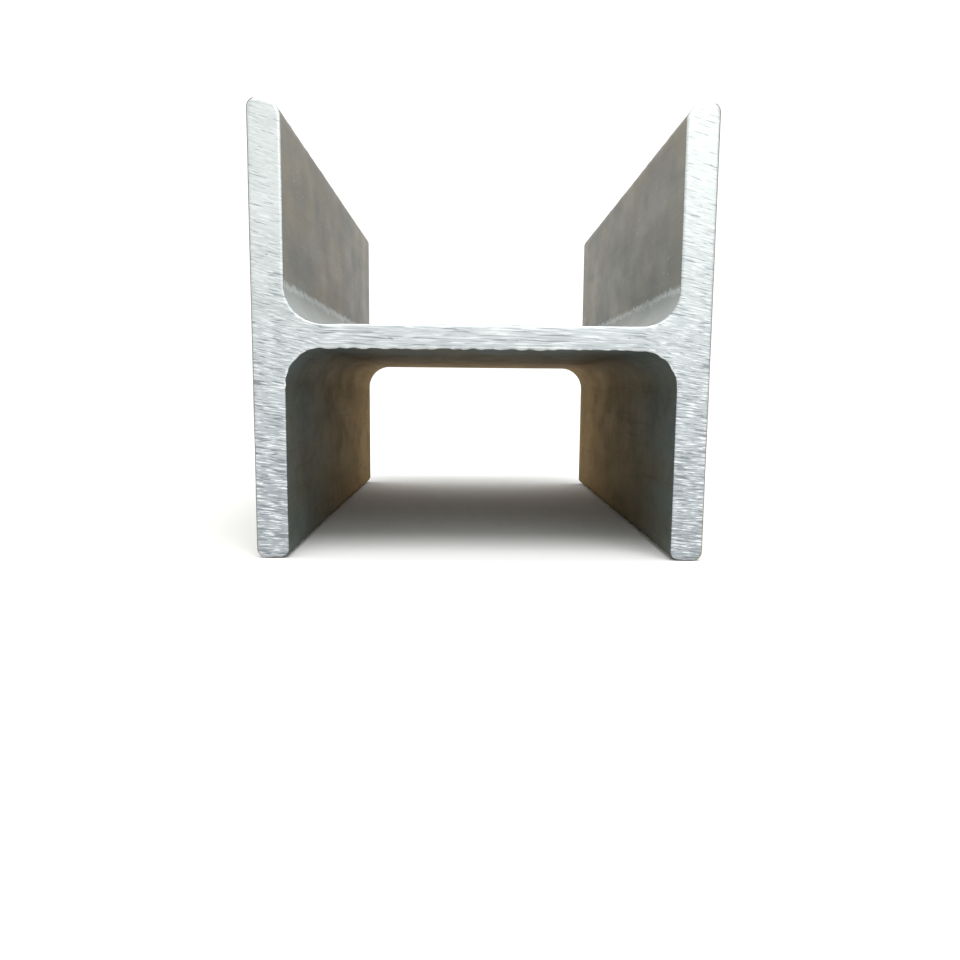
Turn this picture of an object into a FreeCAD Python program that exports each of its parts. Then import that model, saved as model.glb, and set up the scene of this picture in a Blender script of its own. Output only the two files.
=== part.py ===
"""Short cut length of hot-rolled wide-flange H-beam, lying on the toes of its two flanges.

The beam is one rolled piece of steel, so it is one solid in one node. Units are millimetres.
X runs across the section from flange to flange, Y along the beam, Z up.
The origin is the middle of the beam's length and depth, at the level of the floor.
"""

import os

import FreeCAD
import Part

# Driving sizes of the rolled section and of the cut length
SECTION_DEPTH = 100.0      # over the outer faces of the two flanges
FLANGE_WIDTH = 98.0        # toe to toe of one flange
WEB_THICKNESS = 5.2
FLANGE_THICKNESS = 7.2
ROOT_RADIUS = 8.0          # concave fillet where the web meets a flange
TOE_RADIUS = 2.0           # rounding that the rolls leave on each corner of a toe
BEAM_LENGTH = 200.0        # between the two sawn ends

DIAGONAL = 0.5 ** 0.5      # cosine of 45 degrees, for the middle point of a quarter arc


def section_point(x, z):
    """A point of the section, in the plane of the front sawn end."""
    return FreeCAD.Vector(x, -BEAM_LENGTH / 2, z)


def quarter_arc(centre_x, centre_z, radius, start, end):
    """A quarter circle about a centre, from one unit direction (x, z) to another at right angles."""
    middle = ((start[0] + end[0]) * DIAGONAL, (start[1] + end[1]) * DIAGONAL)
    points = [section_point(centre_x + radius * x, centre_z + radius * z) for x, z in (start, middle, end)]
    return Part.Arc(*points).toShape()


def quarter_outline():
    """Outline of one quarter of the section, from the middle of the web to the middle of a flange's outer face.

    Heights are measured from the middle of the web.
    """
    web_face = WEB_THICKNESS / 2
    inner_face = SECTION_DEPTH / 2 - FLANGE_THICKNESS
    outer_face = SECTION_DEPTH / 2
    toe = FLANGE_WIDTH / 2
    root_x = inner_face - ROOT_RADIUS
    root_z = web_face + ROOT_RADIUS
    toe_z = toe - TOE_RADIUS
    left, right, up, down = (-1, 0), (1, 0), (0, 1), (0, -1)
    return [
        Part.makeLine(section_point(0, web_face), section_point(root_x, web_face)),
        quarter_arc(root_x, root_z, ROOT_RADIUS, down, right),
        Part.makeLine(section_point(inner_face, root_z), section_point(inner_face, toe_z)),
        quarter_arc(inner_face + TOE_RADIUS, toe_z, TOE_RADIUS, left, up),
        Part.makeLine(
            section_point(inner_face + TOE_RADIUS, toe), section_point(outer_face - TOE_RADIUS, toe)
        ),
        quarter_arc(outer_face - TOE_RADIUS, toe_z, TOE_RADIUS, up, right),
        Part.makeLine(section_point(outer_face, toe_z), section_point(outer_face, 0)),
    ]


def section_face():
    """The whole H section: the quarter outline mirrored left to right, then top to bottom."""
    centre = FreeCAD.Vector(0, 0, 0)
    quarter = quarter_outline()
    upper_half = quarter + [edge.mirror(centre, FreeCAD.Vector(1, 0, 0)) for edge in quarter]
    whole = upper_half + [edge.mirror(centre, FreeCAD.Vector(0, 0, 1)) for edge in upper_half]
    wire = Part.Wire(Part.__sortEdges__(whole))
    return Part.Face(wire)


def h_beam():
    """The section swept along the beam, with its lower toes on the floor."""
    beam = section_face().extrude(FreeCAD.Vector(0, BEAM_LENGTH, 0))
    beam.translate(FreeCAD.Vector(0, 0, FLANGE_WIDTH / 2))
    return beam.removeSplitter()


os.makedirs("parts", exist_ok=True)
h_beam().exportStep("parts/h_beam.step")
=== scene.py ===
"""Looks of a short cut length of hot-rolled steel H-beam, lying on the toes of its two flanges.

The rolled beam comes first, with its mill scale and its two sawn ends, and then the camera, the floor
and the lights. Everything is in metres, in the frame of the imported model: X from flange to flange,
Y along the beam, Z up, and the floor at zero.
"""

import math

import bpy
import numpy as np
from mathutils import Euler, Matrix, Vector, geometry, noise


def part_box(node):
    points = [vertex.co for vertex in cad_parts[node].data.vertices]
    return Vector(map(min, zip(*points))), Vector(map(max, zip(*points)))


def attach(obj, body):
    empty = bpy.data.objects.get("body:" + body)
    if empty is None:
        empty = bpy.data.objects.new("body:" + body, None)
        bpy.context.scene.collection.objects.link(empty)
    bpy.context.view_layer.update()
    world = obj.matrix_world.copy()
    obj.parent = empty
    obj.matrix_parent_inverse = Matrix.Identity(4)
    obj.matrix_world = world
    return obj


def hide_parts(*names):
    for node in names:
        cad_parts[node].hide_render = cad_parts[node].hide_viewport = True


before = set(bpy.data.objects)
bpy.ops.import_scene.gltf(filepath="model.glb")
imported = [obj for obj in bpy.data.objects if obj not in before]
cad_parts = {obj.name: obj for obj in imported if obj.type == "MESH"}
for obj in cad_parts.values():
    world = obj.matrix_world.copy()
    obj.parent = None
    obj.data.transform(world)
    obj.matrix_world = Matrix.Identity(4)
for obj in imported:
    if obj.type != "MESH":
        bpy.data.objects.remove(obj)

scene = bpy.context.scene
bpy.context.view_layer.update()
MM = 0.001


# The beam
# One piece of hot-rolled steel: two flanges joined by a web, with round fillets in the four corners.
# The rolls leave the skin slightly wavy and its toes rounded, and a band saw cut it to length.

beam_low, beam_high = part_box("h_beam")
half_depth = (beam_high.x - beam_low.x) / 2
half_width = (beam_high.z - beam_low.z) / 2
middle_height = (beam_high.z + beam_low.z) / 2
web_face = 2.6 * MM            # half the web's thickness
flange_thickness = 7.2 * MM
root_radius = 8.0 * MM
toe_radius = 2.0 * MM
inner_face = half_depth - flange_thickness
root_x = inner_face - root_radius
root_z = web_face + root_radius
toe_z = half_width - toe_radius
toe_zone = toe_z - toe_radius  # from here outward, a sawn end's points keep clear of its worn rim
outer_side = half_depth - 1.0 * MM      # past this lie only the flanges' outer faces

skin_step = 0.8 * MM           # between the skin's points round the section
arc_step = 0.55 * MM           # and round its fillets and toe corners
row_step = 2.6 * MM            # between the skin's rows along the beam
edge_break = 0.22 * MM         # the sawn edge is this much blunted
burr_height = 0.45 * MM        # the ragged lip that the saw left under the web
waviness = 0.10 * MM           # how deep the rolled skin's long waves are
dent_depth = 0.05 * MM
toe_wear = 0.35 * MM           # how uneven the knocked and rounded toes are
crown_share = 0.35             # how far in an upper toe is highest, as a share of the flange's thickness
toe_fall = 1.5 * MM            # how far it falls from there to its inner side
toe_fall_reach = 5.0 * MM      # how far down the flange that draws the skin with it
root_fade_across = 6.0 * MM    # over how much of the web the fillets' paler painted sheen fades
root_fade_up = 1.2 * MM        # and over how much of the flange
seam_wander = 1.2 * MM         # how far the pale line of painted sheen above a fillet strays
seam_width = 1.5 * MM
sawn_step = 0.42 * MM          # between the points of a sawn end
same_place = 1e-7              # a sawn end's points this close are one
saw_depth = 0.06 * MM          # the deepest saw marks
high_slope = 0.28              # how steeply the saw marks fall to the right at the upper toes
low_slope = 0.04               # and at the lower ones
web_slope = 0.03               # and along the web
web_stretch = 0.45             # on the web the marks run longer, by one over this


def line_points(start, end, step):
    """Points along a straight run, without its last one."""
    count = max(1, round(math.dist(start, end) / step))
    shares = np.arange(count)[:, None] / count
    return np.array(start) + shares * (np.array(end) - np.array(start))


def arc_points(centre, radius, first, last, step):
    """Points along a quarter arc between two angles in degrees, without its last one."""
    count = max(3, round(radius * math.radians(abs(last - first)) / step))
    angles = np.radians(first + np.arange(count) / count * (last - first))
    return np.array(centre) + radius * np.column_stack((np.cos(angles), np.sin(angles)))


def section_ring():
    """The H outline as a closed loop of (x, height from the web's middle), clockwise seen from the front."""
    quarter = np.vstack((
        line_points((0, web_face), (root_x, web_face), skin_step),
        arc_points((root_x, root_z), root_radius, -90, 0, arc_step),
        line_points((inner_face, root_z), (inner_face, toe_z), skin_step),
        arc_points((inner_face + toe_radius, toe_z), toe_radius, 180, 90, arc_step),
        line_points(
            (inner_face + toe_radius, half_width), (half_depth - toe_radius, half_width), skin_step,
        ),
        arc_points((half_depth - toe_radius, toe_z), toe_radius, 90, 0, arc_step),
        line_points((half_depth, toe_z), (half_depth, 0), skin_step),
        [(half_depth, 0)],
    ))
    right = np.vstack((quarter, quarter[-2::-1] * (1, -1)))
    return np.vstack((right, right[-2:0:-1] * (-1, 1)))


def ring_normals(ring):
    """The outward direction at each point of the ring."""
    along = np.roll(ring, -1, axis=0) - np.roll(ring, 1, axis=0)
    across = np.column_stack((-along[:, 1], along[:, 0]))
    return across / np.linalg.norm(across, axis=1)[:, None]


def row_places():
    """Where the skin's rows lie along the beam, closer together towards each sawn end."""
    near_end = np.array([0.0, 0.22, 0.6, 1.1, 1.8, 2.8, 4.2]) * MM
    front, back = beam_low.y, beam_high.y
    count = round((back - front - 2 * near_end[-1]) / row_step)
    middle = np.linspace(front + near_end[-1], back - near_end[-1], count + 1)
    return np.concatenate((front + near_end[:-1], middle, back - near_end[-2::-1]))


def skin_relief(x, y, z):
    """How far the rolled skin lies under its nominal face: long waves and shallow dents, never outward."""
    waves = noise.noise(Vector((x / (45 * MM), y / (70 * MM), z / (45 * MM))))
    dents = noise.noise(Vector((x / (9 * MM), y / (14 * MM) + 7.0, z / (9 * MM))))
    toe = max(0.0, min(1.0, (abs(z) - toe_z) / toe_radius))
    ragged = noise.noise(Vector((x / (2.4 * MM), y / (5 * MM), z / (2.4 * MM))))
    return (
        waviness * (0.5 - 0.5 * waves)
        + dent_depth * max(0.0, dents - 0.15)
        + toe_wear * toe * (0.5 + 0.5 * ragged)
    )


def crown_drop(x, z):
    """How far an upper toe lies under its highest line, at a place across the flange."""
    if z < 0:
        return 0.0
    crown = half_depth - crown_share * flange_thickness
    across = (crown - abs(x)) / ((1 - crown_share) * flange_thickness)
    return toe_fall * max(0.0, min(1.0, across)) ** 1.4


def edge_roughness(x, z, end):
    """How uneven the sawn edge is at a point of the ring, from 0 to 1."""
    return 0.5 + 0.5 * noise.noise(Vector((x / (1.2 * MM), end * 5.0, z / (1.2 * MM))))


def burr_share(x, z):
    """How much of the saw's ragged lip stands at a point of the front rim, under the web only; the same
    share sets its painted highlight.
    """
    if z > 0 or abs(x) > inner_face or -z > root_z:
        return 0.0
    ragged = noise.noise(Vector((x / (1.9 * MM), 7.0, z / (1.9 * MM))))
    return max(0.0, min(1.0, 0.55 + 0.9 * ragged))


def saw_relief(x, z, end):
    """Depth of the saw marks at a point of a sawn end: runs of fine ridges, steeper on the flanges."""
    web_part = max(-root_x, min(root_x, x))
    flange_part = x - web_part
    slope = high_slope + (low_slope - high_slope) * (0.5 - 0.5 * z / half_width)
    slanted = z + web_slope * x + slope * flange_part
    along = flange_part + web_stretch * web_part
    strokes = noise.noise(Vector((along / (6 * MM), slanted / (0.85 * MM), end * 9.0)))
    bands = noise.noise(Vector((along / (30 * MM), slanted / (4.5 * MM), end * 3.0)))
    return saw_depth * (0.5 + 0.38 * strokes + 0.12 * bands)


def fillet_sheen_share(x, z):
    """Share of the painted paler sheen: 1 in the two upper fillets, falling softly to 0 on the web and the
    flanges beside them.
    """
    if z < 0 or abs(x) > outer_side:
        return 0.0
    beyond = max((root_x - abs(x)) / root_fade_across, (z - root_z) / root_fade_up, 0.0)
    return max(0.0, 1.0 - beyond)


def fillet_sheen_line_share(x, y, z):
    """Share of the pale line of painted sheen: 1 on the wandering line where an upper fillet runs out into
    its flange, 0 away from it.
    """
    if z < 0 or not inner_face - 2.0 * MM < abs(x) < outer_side:
        return 0.0
    stray = noise.noise(Vector((math.copysign(3.0, x), y / (6 * MM), 0.0)))
    line = root_z + 0.1 * MM + seam_wander * stray
    return math.exp(-((z - line) / seam_width) ** 2)


def inside_section(x, z, margin):
    """Whether a point lies inside the H by at least this margin."""
    across, up = abs(x), abs(z)
    if up > root_z:
        up += crown_drop(x, z)
    if across > half_depth - margin or up > half_width - margin:
        return False
    if across > root_x and up < root_z:
        return math.hypot(across - root_x, up - root_z) >= root_radius + margin
    if across <= root_x:
        return up <= web_face - margin
    if across < inner_face + margin:
        return False
    corner_x = max(inner_face + toe_radius - across, across - half_depth + toe_radius)
    corner_z = up - toe_z
    return min(corner_x, corner_z) <= 0 or math.hypot(corner_x, corner_z) <= toe_radius - margin


def inside_rim(x, z, rim):
    """Whether a point lies inside the closed rim, by counting the edges to its right."""
    crossings = 0
    for (x1, z1), (x2, z2) in zip(rim, rim[1:] + rim[:1]):
        if (z1 > z) != (z2 > z) and x < x1 + (z - z1) / (z2 - z1) * (x2 - x1):
            crossings += 1
    return crossings % 2 == 1


def sawn_grid():
    """Staggered points that fill a sawn end, kept farther from its rim at the worn toes."""
    points = []
    row_height = sawn_step * math.sqrt(0.75)
    rows = int(half_width / row_height) + 1
    columns = int(half_depth / sawn_step) + 1
    for row in range(-rows, rows + 1):
        for column in range(-columns, columns + 1):
            x = (column + 0.5 * (row % 2)) * sawn_step
            z = row * row_height
            margin = edge_break + 0.6 * sawn_step
            if abs(z) > toe_zone:
                margin += toe_wear + 0.5 * waviness
            if inside_section(x, z, margin):
                points.append((x, z))
    return points


ring = section_ring()
normals = ring_normals(ring)
places = row_places()
ring_count, row_count = len(ring), len(places)
half_count = ring_count // 2
skin_finish, trough_finish, sawn_finish = range(3)
vertices, faces, finishes, map_places = [], [], [], []

for row, y in enumerate(places):
    end = -1 if row == 0 else 1 if row == row_count - 1 else 0      # front rim, back rim or neither
    for (x, z), (nx, nz) in zip(ring, normals):
        depth = skin_relief(x, y, z)
        lengthwise = 0.0
        if end:
            depth += edge_break * (0.7 + 0.6 * edge_roughness(x, z, end))
            depth -= burr_height * burr_share(x, z) * (end < 0)
            lengthwise = -end * saw_relief(x, z, end)
        drop = crown_drop(x, z) * max(0.0, min(1.0, 1 + (z - toe_z) / toe_fall_reach))
        vertices.append((x - nx * depth, y + lengthwise, middle_height + z - nz * depth - drop))

# The piece's own flat map, for textures: the skin lies in two strips, each half the way round the
# section, over the two sawn ends, which are given twice the scale because their marks are finer.
map_gap = 0.004
end_scale = 4.0
skin_scale = 2.05
steps = np.linalg.norm(np.roll(ring, -1, axis=0) - ring, axis=1)
round_length = np.concatenate(([0.0], np.cumsum(steps)))
strip_start = 2 * map_gap + (beam_high.z - beam_low.z) * end_scale
strip_shift = map_gap + (beam_high.y - beam_low.y) * skin_scale


def strip_place(row, i, left):
    """Where a point of the skin lies on the flat map."""
    along = places[row] - beam_low.y
    way_round = round_length[i] - (round_length[half_count] if left else 0.0)
    return map_gap + along * skin_scale + left * strip_shift, strip_start + way_round * skin_scale


for row in range(row_count - 1):
    at_end = row in (0, row_count - 2)
    for i in range(ring_count):
        a, b = row * ring_count + i, row * ring_count + (i + 1) % ring_count
        faces.append((a, b, b + ring_count, a + ring_count))
        across, up = abs(ring[i][0]), ring[i][1]
        # The blunted edge beside a cut is bare steel too, apart from the flanges' outer edges.
        if at_end and across < half_depth - 0.5 * toe_radius:
            finishes.append(sawn_finish)
        elif up < 0 and across < inner_face + 0.6 * toe_radius:
            finishes.append(trough_finish)
        else:
            finishes.append(skin_finish)
        left = i >= half_count
        map_places += [
            strip_place(row, i, left), strip_place(row, i + 1, left),
            strip_place(row + 1, i + 1, left), strip_place(row + 1, i, left),
        ]

grid = sawn_grid()
for end, first in ((-1, 0), (1, (row_count - 1) * ring_count)):
    rim = [(vertices[first + i][0], vertices[first + i][2] - middle_height) for i in range(ring_count)]
    filling = [(x, z) for x, z in grid if abs(z) < toe_zone or inside_rim(x, z, rim)]
    flat = [Vector(point) for point in rim + filling]
    outline = list(range(ring_count))
    filled = geometry.delaunay_2d_cdt(flat, [], [outline], 1, same_place, True)
    flat_points, triangles, sources = filled[0], filled[2], filled[3]
    numbers = []
    for point, source in zip(flat_points, sources):
        on_rim = [s for s in source if s < ring_count]
        if on_rim:
            numbers.append(first + on_rim[0])
            continue
        y = end * (beam_high.y - saw_relief(point.x, point.y, end))
        numbers.append(len(vertices))
        vertices.append((point.x, y, middle_height + point.y))
    for triangle in triangles:
        corners = [numbers[i] for i in triangle]
        if all(first <= c < first + ring_count for c in corners):
            centre = sum((flat_points[i] for i in triangle), Vector((0, 0))) / 3
            if not inside_rim(centre.x, centre.y, rim):
                continue
        if end > 0:
            corners.reverse()
        faces.append(tuple(corners))
        finishes.append(sawn_finish)
        map_middle = map_gap + half_depth * end_scale
        if end > 0:
            map_middle += map_gap + 2 * half_depth * end_scale
        for corner in corners:
            x, y, z = vertices[corner]
            map_places.append((map_middle + x * end_scale, map_gap + (z - beam_low.z) * end_scale))

beam_mesh = bpy.data.meshes.new("h_beam_steel")
beam_mesh.from_pydata(vertices, [], faces)
beam_mesh.polygons.foreach_set("material_index", np.array(finishes, dtype=np.int32))
beam_mesh.polygons.foreach_set("use_smooth", np.ones(len(faces), dtype=bool))
flat_map = beam_mesh.uv_layers.new(name="OFBake")
flat_map.data.foreach_set("uv", np.array(map_places, dtype=np.float32).ravel())

# The finishes read these from the mesh: the fillets' and the line's painted sheen, and the burr's painted
# highlight.
fillet_sheen = beam_mesh.attributes.new("root", "FLOAT", "POINT")
fillet_sheen.data.foreach_set("value", [fillet_sheen_share(x, z - middle_height) for x, y, z in vertices])
fillet_sheen_lines = beam_mesh.attributes.new("fillet_sheen_line", "FLOAT", "POINT")
fillet_sheen_lines.data.foreach_set("value", [fillet_sheen_line_share(x, y, z - middle_height) for x, y, z in vertices])
burr_highlights = beam_mesh.attributes.new("burr_highlight", "FLOAT", "POINT")
front_burr_highlights = [burr_share(x, z) for x, z in ring]
burr_highlights.data.foreach_set("value", front_burr_highlights + [0.0] * (len(vertices) - ring_count))
beam_mesh.update()
beam = bpy.data.objects.new("h_beam_steel", beam_mesh)
scene.collection.objects.link(beam)


def linear(hex_colour):
    """An sRGB hex colour as the linear red, green, blue and alpha that a socket takes."""
    channels = [int(hex_colour[i:i + 2], 16) / 255 for i in (1, 3, 5)]
    return [c / 12.92 if c <= 0.04045 else ((c + 0.055) / 1.055) ** 2.4 for c in channels] + [1.0]


def add_node(tree, kind, inputs=None, output=0, **settings):
    """Adds a node with its settings and its inputs, as values or as links, and gives one of its outputs."""
    node = tree.nodes.new("ShaderNode" + kind)
    for name, value in settings.items():
        setattr(node, name, value)
    for name, value in (inputs or {}).items():
        if isinstance(value, bpy.types.NodeSocket):
            tree.links.new(value, node.inputs[name])
        else:
            node.inputs[name].default_value = value
    return node.outputs[output] if node.outputs else None


def new_material(name):
    """An empty material, its node tree and the place of a point on the beam, in metres."""
    material = bpy.data.materials.new(name)
    material.use_nodes = True
    material.node_tree.nodes.clear()
    return material, material.node_tree, add_node(material.node_tree, "TexCoord", output="Object")


# Hot-rolled steel in its mill scale
# A hard, dark iron oxide that forms while the bar is red hot. It gives a satin slate grey, a little
# olive in places, with faint streaks and grooves along the beam and groups of pale flecks where it
# has chipped. In the upper fillets it is painted paler, as painted sheen, up to a ragged pale line of
# painted sheen on the flange.

mill_scale, tree, place = new_material("hot_rolled_mill_scale")
patterns = {}
for name, size, detail, shift in (              # each cell's size in millimetres, across, along and up
    ("patches", (45, 90, 45), 2.0, 0.0),
    ("clouds", (11, 24, 11), 4.0, 21.0),
    ("mottle", (3.2, 6.5, 3.2), 4.0, 15.0),
    ("streaks", (2.2, 90, 2.2), 2.0, 4.0),
    ("grooves", (0.9, 48, 0.9), 2.0, 18.0),
    ("grain", (0.7, 0.9, 0.7), 3.0, 9.0),
    ("chips", (0.9, 1.2, 0.9), 1.0, 2.0),
    ("chip_groups", (15, 22, 15), 2.0, 31.0),
    ("peel", (1.8, 2.6, 1.8), 2.0, 6.0),
    ("speckle", (0.6, 1.3, 0.6), 3.0, 12.0),
):
    cells = add_node(tree, "Mapping", {
        "Vector": place, "Location": (shift, shift, shift), "Scale": [1 / (s * MM) for s in size],
    })
    patterns[name] = add_node(tree, "TexNoise", {
        "Vector": cells, "Scale": 1.0, "Detail": detail, "Roughness": 0.55,
    })

grouped = add_node(tree, "MapRange", {
    "Value": patterns["chip_groups"], "From Min": 0.48, "From Max": 0.62, "To Min": -0.09, "To Max": 0.0,
})
patterns["grouped_chips"] = add_node(tree, "Math", {0: patterns["chips"], 1: grouped}, operation="ADD")
# The fillets' paler colour and the pale speckled line above them are painted sheen.
root = add_node(tree, "Attribute", output="Fac", attribute_name="root")
patterns["fillet_sheen"] = add_node(tree, "Math", {
    0: patterns["mottle"], 1: 0.5, 2: root,
}, operation="MULTIPLY_ADD")
fillet_sheen_line = add_node(tree, "Attribute", output="Fac", attribute_name="fillet_sheen_line")
patterns["fillet_sheen_lines"] = add_node(tree, "Math", {0: patterns["speckle"], 1: fillet_sheen_line}, operation="MULTIPLY")
tone = linear("#69695D")
for name, start, full, strength, colour in (
    ("patches", 0.35, 0.65, 1.00, "#766C55"),
    ("clouds", 0.48, 0.64, 0.42, "#686E70"),
    ("mottle", 0.42, 0.70, 0.22, "#53544C"),
    ("streaks", 0.35, 0.70, 0.14, "#8A877E"),
    ("grooves", 0.58, 0.70, 0.22, "#4A4B45"),
    ("grain", 0.40, 0.70, 0.20, "#4A4C4A"),
    ("fillet_sheen", 0.20, 1.10, 0.62, "#A1A8A7"),
    ("fillet_sheen_lines", 0.34, 0.52, 0.60, "#C6CBCA"),
    ("grouped_chips", 0.69, 0.75, 0.60, "#B2B4AE"),
):
    share = add_node(tree, "MapRange", {
        "Value": patterns[name], "From Min": start, "From Max": full, "To Max": strength,
    }, interpolation_type="SMOOTHSTEP")
    tone = add_node(tree, "Mix", {0: share, 6: tone, 7: linear(colour)}, 2, data_type="RGBA")

normal = None
for name, height in (("peel", 0.020), ("mottle", 0.025), ("grooves", -0.012), ("grain", 0.010)):
    bump = {"Height": patterns[name], "Strength": 1.0, "Distance": abs(height) * MM}
    if normal:
        bump["Normal"] = normal
    normal = add_node(tree, "Bump", bump, invert=height < 0)

shine = add_node(tree, "MapRange", {
    "Value": patterns["clouds"], "From Min": 0.35, "From Max": 0.65, "To Min": 0.46, "To Max": 0.58,
})
surface = add_node(tree, "BsdfPrincipled", {
    "Base Color": tone, "Metallic": 0.2, "Roughness": shine, "Normal": normal,
})
add_node(tree, "OutputMaterial", {"Surface": surface})


# Mill scale in the lower trough, with painted shade and painted reflection
# The same oxide, matt and painted darker as painted shade in the hollow under the web: slate at the
# front end, turning farther in to a brown that is painted reflection of warm surroundings, in soft
# bands along the beam.

painted_shade_trough_scale, tree, place = new_material("lower_trough_scale_with_painted_shade")
patterns = {}
for name, size, detail, shift in (
    ("bands", (16, 70, 16), 2.0, 3.0),
    ("clouds", (9, 20, 9), 4.0, 24.0),
    ("mottle", (3.0, 6.0, 3.0), 4.0, 15.0),
    ("grooves", (0.9, 48, 0.9), 2.0, 18.0),
    ("grain", (0.7, 0.9, 0.7), 3.0, 9.0),
):
    cells = add_node(tree, "Mapping", {
        "Vector": place, "Location": (shift, shift, shift), "Scale": [1 / (s * MM) for s in size],
    })
    patterns[name] = add_node(tree, "TexNoise", {
        "Vector": cells, "Scale": 1.0, "Detail": detail, "Roughness": 0.55,
    })

way_in = add_node(tree, "SeparateXYZ", {"Vector": place}, "Y")
wander = add_node(tree, "Math", {0: patterns["bands"], 1: 60 * MM, 2: way_in}, operation="MULTIPLY_ADD")
painted_brown_reflection_share = add_node(tree, "MapRange", {
    "Value": wander, "From Min": beam_low.y + 28 * MM, "From Max": 80 * MM,
}, interpolation_type="SMOOTHSTEP")
# Slate near the front end and brown farther in: the dark tone is painted shade, the brown painted
# reflection.
tone = add_node(tree, "Mix", {0: painted_brown_reflection_share, 6: linear("#5D6A6C"), 7: linear("#8C7249")}, 2, data_type="RGBA")
for name, start, full, strength, colour in (
    ("bands", 0.40, 0.62, 0.30, "#5E5738"),
    ("clouds", 0.52, 0.66, 0.30, "#6A645A"),
    ("mottle", 0.42, 0.70, 0.25, "#34342E"),
    ("grooves", 0.58, 0.70, 0.22, "#2E2E2A"),
    ("grain", 0.40, 0.70, 0.18, "#2C2D2B"),
):
    share = add_node(tree, "MapRange", {
        "Value": patterns[name], "From Min": start, "From Max": full, "To Max": strength,
    }, interpolation_type="SMOOTHSTEP")
    tone = add_node(tree, "Mix", {0: share, 6: tone, 7: linear(colour)}, 2, data_type="RGBA")

rough = add_node(tree, "Bump", {"Height": patterns["mottle"], "Strength": 1.0, "Distance": 0.030 * MM})
rough = add_node(tree, "Bump", {
    "Height": patterns["grain"], "Strength": 1.0, "Distance": 0.012 * MM, "Normal": rough,
})
shine = add_node(tree, "MapRange", {
    "Value": patterns["clouds"], "From Min": 0.35, "From Max": 0.65, "To Min": 0.60, "To Max": 0.70,
})
# The brown specular tint paints a warm reflection into the sheen.
surface = add_node(tree, "BsdfPrincipled", {
    "Base Color": tone, "Metallic": 0.6, "Specular IOR Level": 0.3, "Specular Tint": linear("#CCB893"),
    "Roughness": shine, "Normal": rough,
})
add_node(tree, "OutputMaterial", {"Surface": surface})


# Steel fresh from the band saw
# Bare bright metal, scored by the teeth into short runs of fine lines. Their dark colour is painted
# shade in the grooves and the bright glints between them are painted highlights. The base is painted
# darker towards the toes the beam stands on, as painted shade, and dark smudges grow stronger there too.

sawn_steel, tree, place = new_material("band_sawn_steel")
across = add_node(tree, "SeparateXYZ", {"Vector": place}, "X")
along = add_node(tree, "SeparateXYZ", {"Vector": place}, "Y")
up = add_node(tree, "SeparateXYZ", {"Vector": place}, "Z")
lowness = add_node(tree, "MapRange", {
    "Value": up, "From Min": beam_high.z, "From Max": beam_low.z,
}, interpolation_type="SMOOTHSTEP")

# The marks run along lines that fall to the right, more steeply on the flanges and towards the top.
web_part = add_node(tree, "Clamp", {"Value": across, "Min": -root_x, "Max": root_x})
flange_part = add_node(tree, "Math", {0: across, 1: web_part}, operation="SUBTRACT")
slope = add_node(tree, "MapRange", {
    "Value": lowness, "To Min": high_slope, "To Max": low_slope,
})
flange_fall = add_node(tree, "Math", {0: flange_part, 1: slope}, operation="MULTIPLY")
web_fall = add_node(tree, "Math", {0: across, 1: web_slope, 2: up}, operation="MULTIPLY_ADD")
level = add_node(tree, "Math", {0: web_fall, 1: flange_fall}, operation="ADD")
reach = add_node(tree, "Math", {0: web_part, 1: web_stretch, 2: flange_part}, operation="MULTIPLY_ADD")
cut_place = add_node(tree, "CombineXYZ", {"X": reach, "Y": along, "Z": level})

patterns = {}
for name, size, detail, shift in (
    ("strokes", (4.6, 9, 0.37), 3.0, 0.0),
    ("glints", (3.2, 9, 0.32), 3.0, 5.0),
    ("hair_lines", (3.0, 9, 0.20), 2.0, 7.0),
    ("runs", (12, 40, 4), 2.0, 3.0),
    ("smudges", (3.0, 9, 1.6), 2.0, 8.0),
):
    cells = add_node(tree, "Mapping", {
        "Vector": place if name == "smudges" else cut_place,
        "Location": (shift, shift, shift), "Scale": [1 / (s * MM) for s in size],
    })
    patterns[name] = add_node(tree, "TexNoise", {
        "Vector": cells, "Scale": 1.0, "Detail": detail, "Roughness": 0.55,
    })

# Deeper and more of them towards the foot, where the saw pressed harder.
patterns["more_strokes"] = add_node(tree, "Math", {
    0: lowness, 1: 0.08, 2: patterns["strokes"],
}, operation="MULTIPLY_ADD")
depth = add_node(tree, "MapRange", {"Value": lowness, "To Min": 0.35, "To Max": 1.0})
stroke_depth = add_node(tree, "Math", {0: patterns["strokes"], 1: depth}, operation="MULTIPLY")
glint_depth = add_node(tree, "Math", {0: patterns["glints"], 1: depth}, operation="MULTIPLY")
patterns["burr_highlight"] = add_node(tree, "Attribute", output="Fac", attribute_name="burr_highlight")

# The base is painted darker towards the foot, as painted shade.
metal = add_node(tree, "Mix", {0: lowness, 6: linear("#C4CAC8"), 7: linear("#959BA2")}, 2, data_type="RGBA")
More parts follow.
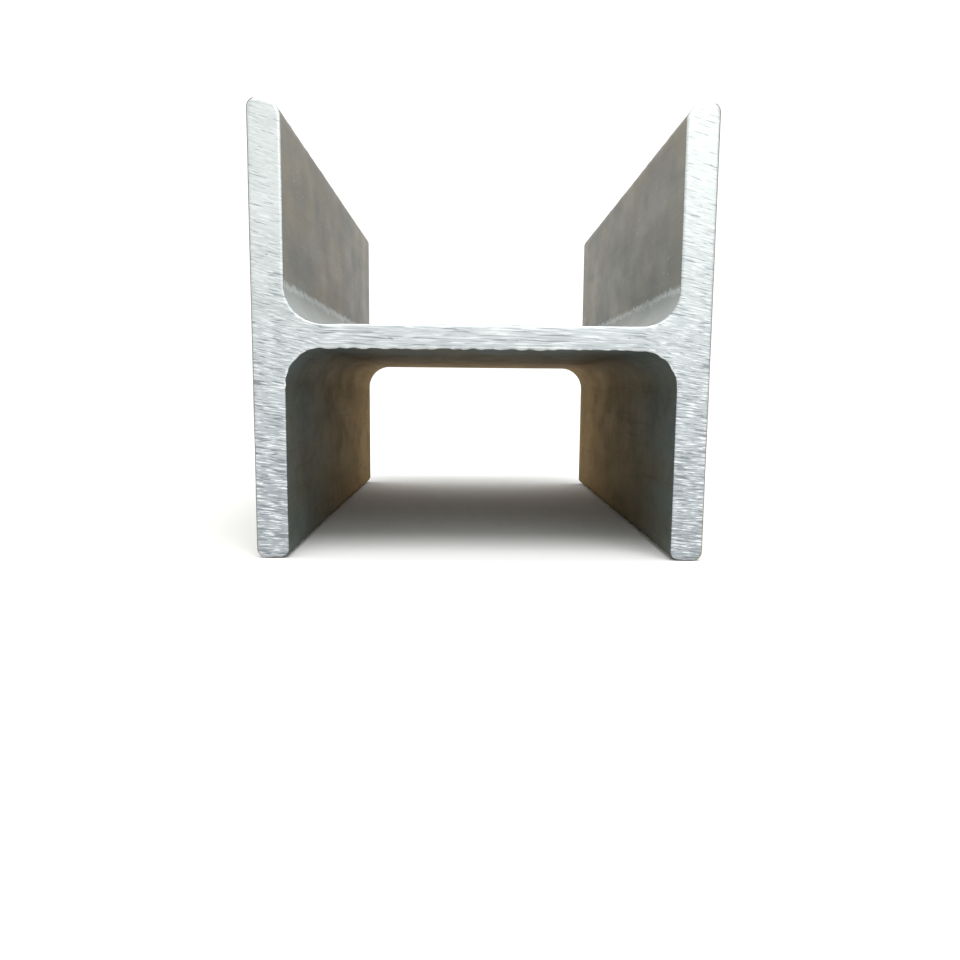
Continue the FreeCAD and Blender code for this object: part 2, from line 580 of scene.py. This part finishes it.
# The dark hair lines and strokes are painted shade in the saw's grooves and the glints are painted
# highlights; the smudges darken the cut more towards the foot.
for name, start, full, at_top, at_foot, colour in (
    ("runs", 0.00, 1.00, 0.40, 0.40, "#CDD2D2"),
    ("hair_lines", 0.45, 0.65, 0.15, 0.60, "#7C8386"),
    ("glints", 0.50, 0.64, 0.25, 0.70, "#F0F4F4"),
    ("more_strokes", 0.605, 0.665, 0.62, 0.74, "#6C7376"),
    ("smudges", 0.68, 0.78, 0.40, 0.75, "#5E6366"),
    # The burr's near-white is a painted highlight on its ragged lip.
    ("burr_highlight", 0.15, 0.80, 0.90, 0.90, "#FAFCFC"),
):
    strength = add_node(tree, "MapRange", {"Value": lowness, "To Min": at_top, "To Max": at_foot})
    share = add_node(tree, "MapRange", {
        "Value": patterns[name], "From Min": start, "From Max": full, "To Max": strength,
    }, interpolation_type="SMOOTHSTEP")
    metal = add_node(tree, "Mix", {0: share, 6: metal, 7: linear(colour)}, 2, data_type="RGBA")

scored = add_node(tree, "Bump", {
    "Height": stroke_depth, "Strength": 1.0, "Distance": 0.05 * MM,
}, invert=True)
scored = add_node(tree, "Bump", {
    "Height": glint_depth, "Strength": 1.0, "Distance": 0.025 * MM, "Normal": scored,
})
shine = add_node(tree, "MapRange", {
    "Value": patterns["runs"], "From Min": 0.3, "From Max": 0.7, "To Min": 0.32, "To Max": 0.42,
})
surface = add_node(tree, "BsdfPrincipled", {
    "Base Color": metal, "Metallic": 1.0, "Roughness": shine, "Normal": scored,
})
add_node(tree, "OutputMaterial", {"Surface": surface})

for finish in (mill_scale, painted_shade_trough_scale, sawn_steel):
    beam_mesh.materials.append(finish)
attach(beam, "root")
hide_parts("h_beam")


# Camera
# Low in front of one sawn end, close enough to look between the flanges to the far end.

camera_data = bpy.data.cameras.new("camera")
camera = bpy.data.objects.new("camera", camera_data)
scene.collection.objects.link(camera)
scene.camera = camera
camera_data.sensor_width = 36.0
camera_data.lens = 39.5
camera_data.shift_y = 0.085
camera_distance = 233.64 * MM
camera_height = 37.62 * MM
look_down, look_right, roll = 9.25, 0.71, 0.52      # degrees
camera.location = (-2.9 * MM, beam_low.y - camera_distance, camera_height)
aim = Euler((math.radians(90 - look_down), 0, math.radians(-look_right))).to_matrix()
camera.rotation_euler = (aim @ Matrix.Rotation(math.radians(roll), 3, "Z")).to_euler()


# Studio
# A wide, matt, near-white floor that runs out into an even white light. One soft lamp stands high in
# front of the beam, and a weaker one lower down lights its front end.

floor_radius = 10.0
floor_sides = 96
turns = [2 * math.pi * i / floor_sides for i in range(floor_sides)]
floor_mesh = bpy.data.meshes.new("floor")
floor_mesh.from_pydata(
    [(floor_radius * math.cos(t), floor_radius * math.sin(t), 0.0) for t in turns],
    [], [tuple(range(floor_sides))],
)
floor = bpy.data.objects.new("floor", floor_mesh)
scene.collection.objects.link(floor)
paper, tree, place = new_material("matt_white_paper")
surface = add_node(tree, "BsdfPrincipled", {
    "Base Color": linear("#F3F3F1"), "Roughness": 0.9, "Specular IOR Level": 0.2,
})
add_node(tree, "OutputMaterial", {"Surface": surface})
floor_mesh.materials.append(paper)

world = bpy.data.worlds.new("studio")
world.use_nodes = True
world.node_tree.nodes["Background"].inputs["Color"].default_value = (1, 1, 1, 1)
world.node_tree.nodes["Background"].inputs["Strength"].default_value = 1.15
scene.world = world


def soft_lamp(name, place, aim_at, size, power):
    """A square soft lamp that faces a point."""
    data = bpy.data.lights.new(name, "AREA")
    data.size = size
    data.energy = power
    lamp = bpy.data.objects.new(name, data)
    lamp.location = place
    lamp.rotation_euler = (Vector(aim_at) - Vector(place)).to_track_quat("-Z", "Y").to_euler()
    scene.collection.objects.link(lamp)


soft_lamp("key_lamp", (0.10, -0.60, 0.98), (0, 0, 0.05), 0.6, 7.0)
soft_lamp("front_lamp", (0.22, -1.00, 0.46), (0, -0.1, 0.07), 0.6, 1.1)

scene.view_settings.view_transform = "Standard"
